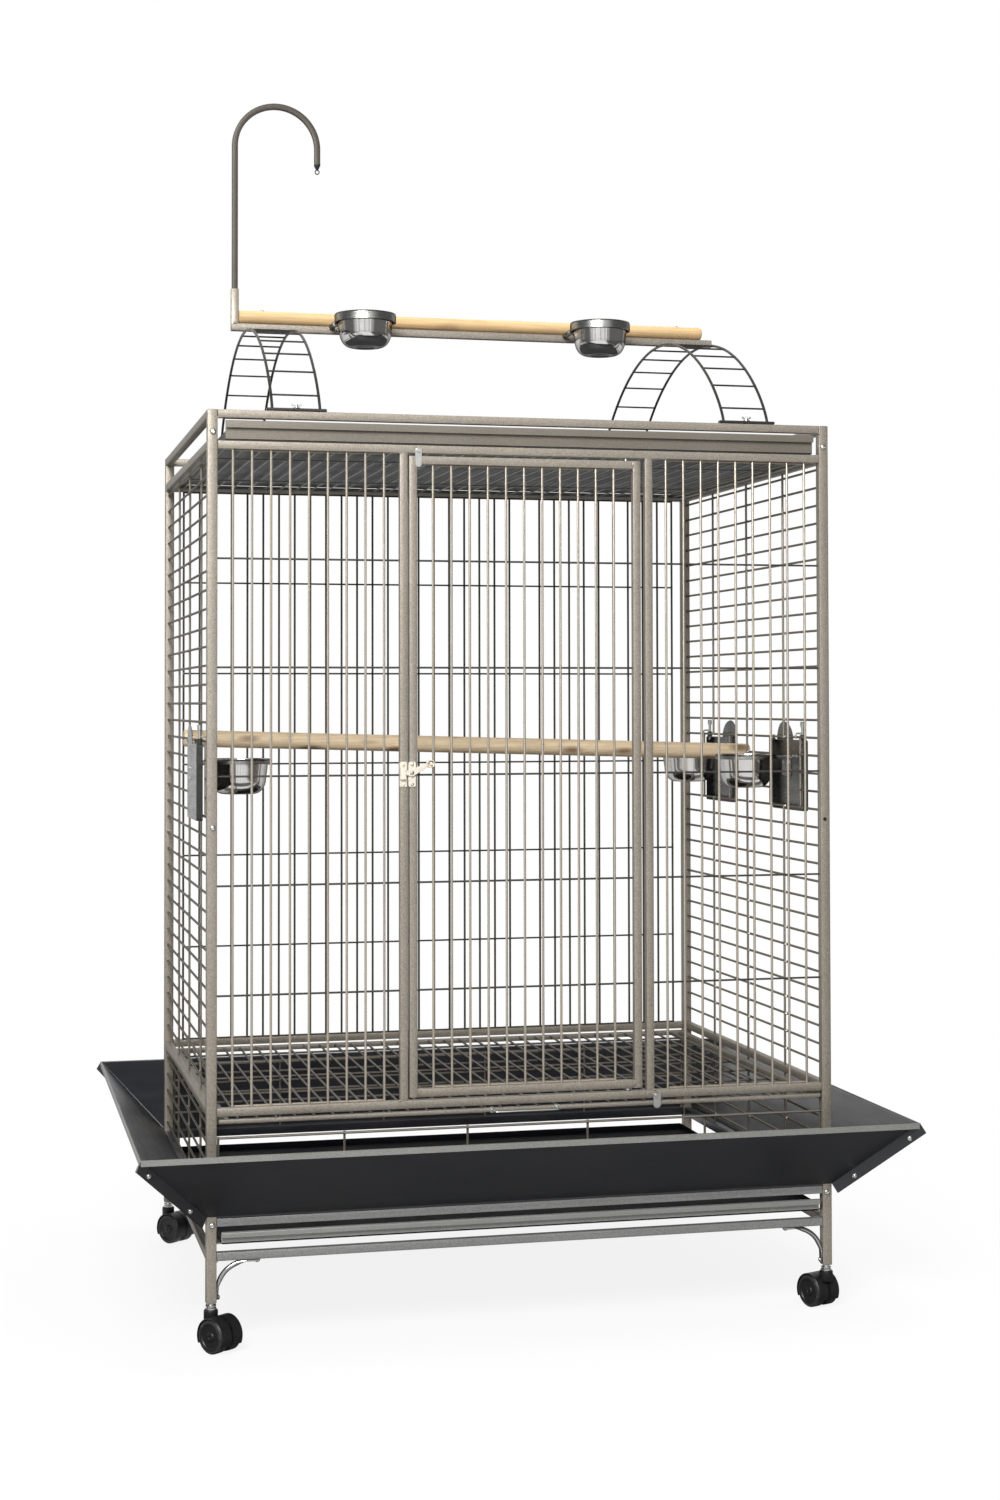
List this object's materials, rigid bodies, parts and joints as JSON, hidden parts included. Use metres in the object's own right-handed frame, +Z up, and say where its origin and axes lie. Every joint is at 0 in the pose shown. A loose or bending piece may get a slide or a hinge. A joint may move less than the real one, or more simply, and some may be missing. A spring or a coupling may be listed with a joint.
{
  "type": "bird cage",
  "caption": "Tall wire cage for large parrots on swivel casters, with a front door, slide-out grate and trays, swing-out feeders, a sloping seed guard and a play top.",
  "frame": {"origin": "on the floor under the middle of the cage", "axes": "+X to the right along the front, +Y to the back, +Z up"},
  "size_m": [1.2472, 0.9932, 2.0188],
  "materials": {
    "frame_powder_coat": "satin hammered powder coat, warm grey",
    "wire": "satin powder coat, warm grey",
    "ladder_wire": "satin powder coat, dark grey",
    "apron_sheet": "satin powder coat, charcoal",
    "zinc": "bright zinc plate",
    "pale_cast": "satin, pale",
    "bowl_steel": "polished stainless steel",
    "pine": "sanded pine, yellow",
    "pale_pine": "sanded pine, pale, with knots",
    "black_plastic": "satin moulded plastic"
  },
  "bodies": {
    "cage": {"side_panel_left": "frame_powder_coat", "side_panel_right": "frame_powder_coat", "front_panel": "frame_powder_coat", "back_panel": "frame_powder_coat", "top_rail_front": "frame_powder_coat", "top_rail_back": "frame_powder_coat", "stand_rail_front": "frame_powder_coat", "stand_rail_back": "frame_powder_coat", "guard_front": "frame_powder_coat", "guard_back": "frame_powder_coat", "roof_grille": "wire", "apron_front": "apron_sheet", "apron_right": "apron_sheet", "apron_back": "apron_sheet", "apron_left": "apron_sheet", "latch_keeper": "pale_cast", "ladder_left": "ladder_wire", "ladder_right": "ladder_wire", "play_rail": "frame_powder_coat", "play_perch": "pine", "play_ring_left": "zinc", "play_ring_right": "zinc", "inner_perch": "pale_pine", "brace_front_left": "frame_powder_coat", "brace_front_right": "frame_powder_coat", "brace_back_left": "frame_powder_coat", "brace_back_right": "frame_powder_coat"},
    "door": {"door": "frame_powder_coat", "latch_plate": "pale_cast"},
    "latch_lever": {"latch_lever": "pale_cast"},
    "door_lock": {"door_lock_tab": "zinc"},
    "grate_lock": {"grate_lock_tab": "zinc"},
    "top_tray": {"top_tray": "apron_sheet"},
    "debris_tray": {"debris_tray": "apron_sheet"},
    "grate": {"grate": "wire", "grate_handle": "zinc"},
    "hook": {"hook_tube": "frame_powder_coat"},
    "play_bowl_left": {"play_bowl_left": "bowl_steel"},
    "play_bowl_right": {"play_bowl_right": "bowl_steel"},
    "feeder_left": {"feeder_door_left": "frame_powder_coat", "feeder_ring_left": "zinc"},
    "feeder_latch_left": {"feeder_latch_left": "zinc"},
    "feeder_bowl_left": {"feeder_bowl_left": "bowl_steel"},
    "feeder_right_front": {"feeder_door_right_front": "frame_powder_coat", "feeder_ring_right_front": "zinc"},
    "feeder_latch_right_front": {"feeder_latch_right_front": "zinc"},
    "feeder_bowl_right_front": {"feeder_bowl_right_front": "bowl_steel"},
    "feeder_right_back": {"feeder_door_right_back": "frame_powder_coat", "feeder_ring_right_back": "zinc"},
    "feeder_latch_right_back": {"feeder_latch_right_back": "zinc"},
    "feeder_bowl_right_back": {"feeder_bowl_right_back": "bowl_steel"},
    "swivel_front_left": {"caster_housing_front_left": "black_plastic"},
    "wheels_front_left": {"caster_wheels_front_left": "black_plastic"},
    "swivel_front_right": {"caster_housing_front_right": "black_plastic"},
    "wheels_front_right": {"caster_wheels_front_right": "black_plastic"},
    "swivel_back_left": {"caster_housing_back_left": "black_plastic"},
    "wheels_back_left": {"caster_wheels_back_left": "black_plastic"},
    "swivel_back_right": {"caster_housing_back_right": "black_plastic"},
    "wheels_back_right": {"caster_wheels_back_right": "black_plastic"}
  },
  "joints": [
    {"name": "door_hinge", "type": "hinge", "parent": "cage", "child": "door", "pos_m": [0.164, -0.3745, 0.8735], "axis": [0, 0, 1], "range_deg": [0, 110]},
    {"name": "latch_turn", "type": "hinge", "parent": "door", "child": "latch_lever", "pos_m": [-0.189, -0.3851, 0.878], "axis": [0, 1, 0], "range_deg": [0, 50]},
    {"name": "door_lock_turn", "type": "hinge", "parent": "cage", "child": "door_lock", "pos_m": [-0.1774, -0.3821, 1.3845], "axis": [0, 1, 0], "range_deg": [0, 90]},
    {"name": "grate_lock_turn", "type": "hinge", "parent": "cage", "child": "grate_lock", "pos_m": [0.2105, -0.3821, 0.359], "axis": [0, 1, 0], "range_deg": [0, 90]},
    {"name": "top_tray_slide", "type": "slide", "parent": "cage", "child": "top_tray", "axis": [0, -1, 0], "range_m": [0, 0.7]},
    {"name": "debris_tray_slide", "type": "slide", "parent": "cage", "child": "debris_tray", "axis": [0, -1, 0], "range_m": [0, 0.7]},
    {"name": "grate_slide", "type": "slide", "parent": "cage", "child": "grate", "axis": [0, -1, 0], "range_m": [0, 0.69]},
    {"name": "hook_lift", "type": "slide", "parent": "cage", "child": "hook", "axis": [0, 0, 1], "range_m": [0, 0.05]},
    {"name": "play_bowl_left_lift", "type": "slide", "parent": "cage", "child": "play_bowl_left", "axis": [0, 0, 1], "range_m": [0, 0.06]},
    {"name": "play_bowl_right_lift", "type": "slide", "parent": "cage", "child": "play_bowl_right", "axis": [0, 0, 1], "range_m": [0, 0.06]},
    {"name": "feeder_left_hinge", "type": "hinge", "parent": "cage", "child": "feeder_left", "pos_m": [-0.51, -0.1481, 0.863], "axis": [0, 0, -1], "range_deg": [0, 110]},
    {"name": "feeder_left_latch_lift", "type": "slide", "parent": "feeder_left", "child": "feeder_latch_left", "axis": [0, 0, 1], "range_m": [0, 0.012]},
    {"name": "feeder_left_bowl_lift", "type": "slide", "parent": "feeder_left", "child": "feeder_bowl_left", "axis": [0, 0, 1], "range_m": [0, 0.06]},
    {"name": "feeder_right_front_hinge", "type": "hinge", "parent": "cage", "child": "feeder_right_front", "pos_m": [0.51, -0.1071, 0.863], "axis": [0, 0, 1], "range_deg": [0, 110]},
    {"name": "feeder_right_front_latch_lift", "type": "slide", "parent": "feeder_right_front", "child": "feeder_latch_right_front", "axis": [0, 0, 1], "range_m": [0, 0.012]},
    {"name": "feeder_right_front_bowl_lift", "type": "slide", "parent": "feeder_right_front", "child": "feeder_bowl_right_front", "axis": [0, 0, 1], "range_m": [0, 0.06]},
    {"name": "feeder_right_back_hinge", "type": "hinge", "parent": "cage", "child": "feeder_right_back", "pos_m": [0.51, 0.1071, 0.863], "axis": [0, 0, -1], "range_deg": [0, 110]},
    {"name": "feeder_right_back_latch_lift", "type": "slide", "parent": "feeder_right_back", "child": "feeder_latch_right_back", "axis": [0, 0, 1], "range_m": [0, 0.012]},
    {"name": "feeder_right_back_bowl_lift", "type": "slide", "parent": "feeder_right_back", "child": "feeder_bowl_right_back", "axis": [0, 0, 1], "range_m": [0, 0.06]},
    {"name": "caster_front_left_swivel", "type": "hinge", "parent": "cage", "child": "swivel_front_left", "pos_m": [-0.5, -0.373, 0.085], "axis": [0, 0, 1], "continuous": true},
    {"name": "caster_front_left_roll", "type": "hinge", "parent": "swivel_front_left", "child": "wheels_front_left", "pos_m": [-0.48796, -0.38897, 0.026], "axis": [0.7986, 0.6018, 0], "continuous": true},
    {"name": "caster_front_right_swivel", "type": "hinge", "parent": "cage", "child": "swivel_front_right", "pos_m": [0.5, -0.373, 0.085], "axis": [0, 0, 1], "continuous": true},
    {"name": "caster_front_right_roll", "type": "hinge", "parent": "swivel_front_right", "child": "wheels_front_right", "pos_m": [0.49283, -0.35433, 0.026], "axis": [-0.9336, -0.3584, 0], "continuous": true},
    {"name": "caster_back_left_swivel", "type": "hinge", "parent": "cage", "child": "swivel_back_left", "pos_m": [-0.5, 0.373, 0.085], "axis": [0, 0, 1], "continuous": true},
    {"name": "caster_back_left_roll", "type": "hinge", "parent": "swivel_back_left", "child": "wheels_back_left", "pos_m": [-0.48741, 0.35746, 0.026], "axis": [0.7771, 0.6293, 0], "continuous": true},
    {"name": "caster_back_right_swivel", "type": "hinge", "parent": "cage", "child": "swivel_back_right", "pos_m": [0.5, 0.373, 0.085], "axis": [0, 0, 1], "continuous": true},
    {"name": "caster_back_right_roll", "type": "hinge", "parent": "swivel_back_right", "child": "wheels_back_right", "pos_m": [0.50845, 0.35487, 0.026], "axis": [0.9063, 0.4226, 0], "continuous": true}
  ]
}
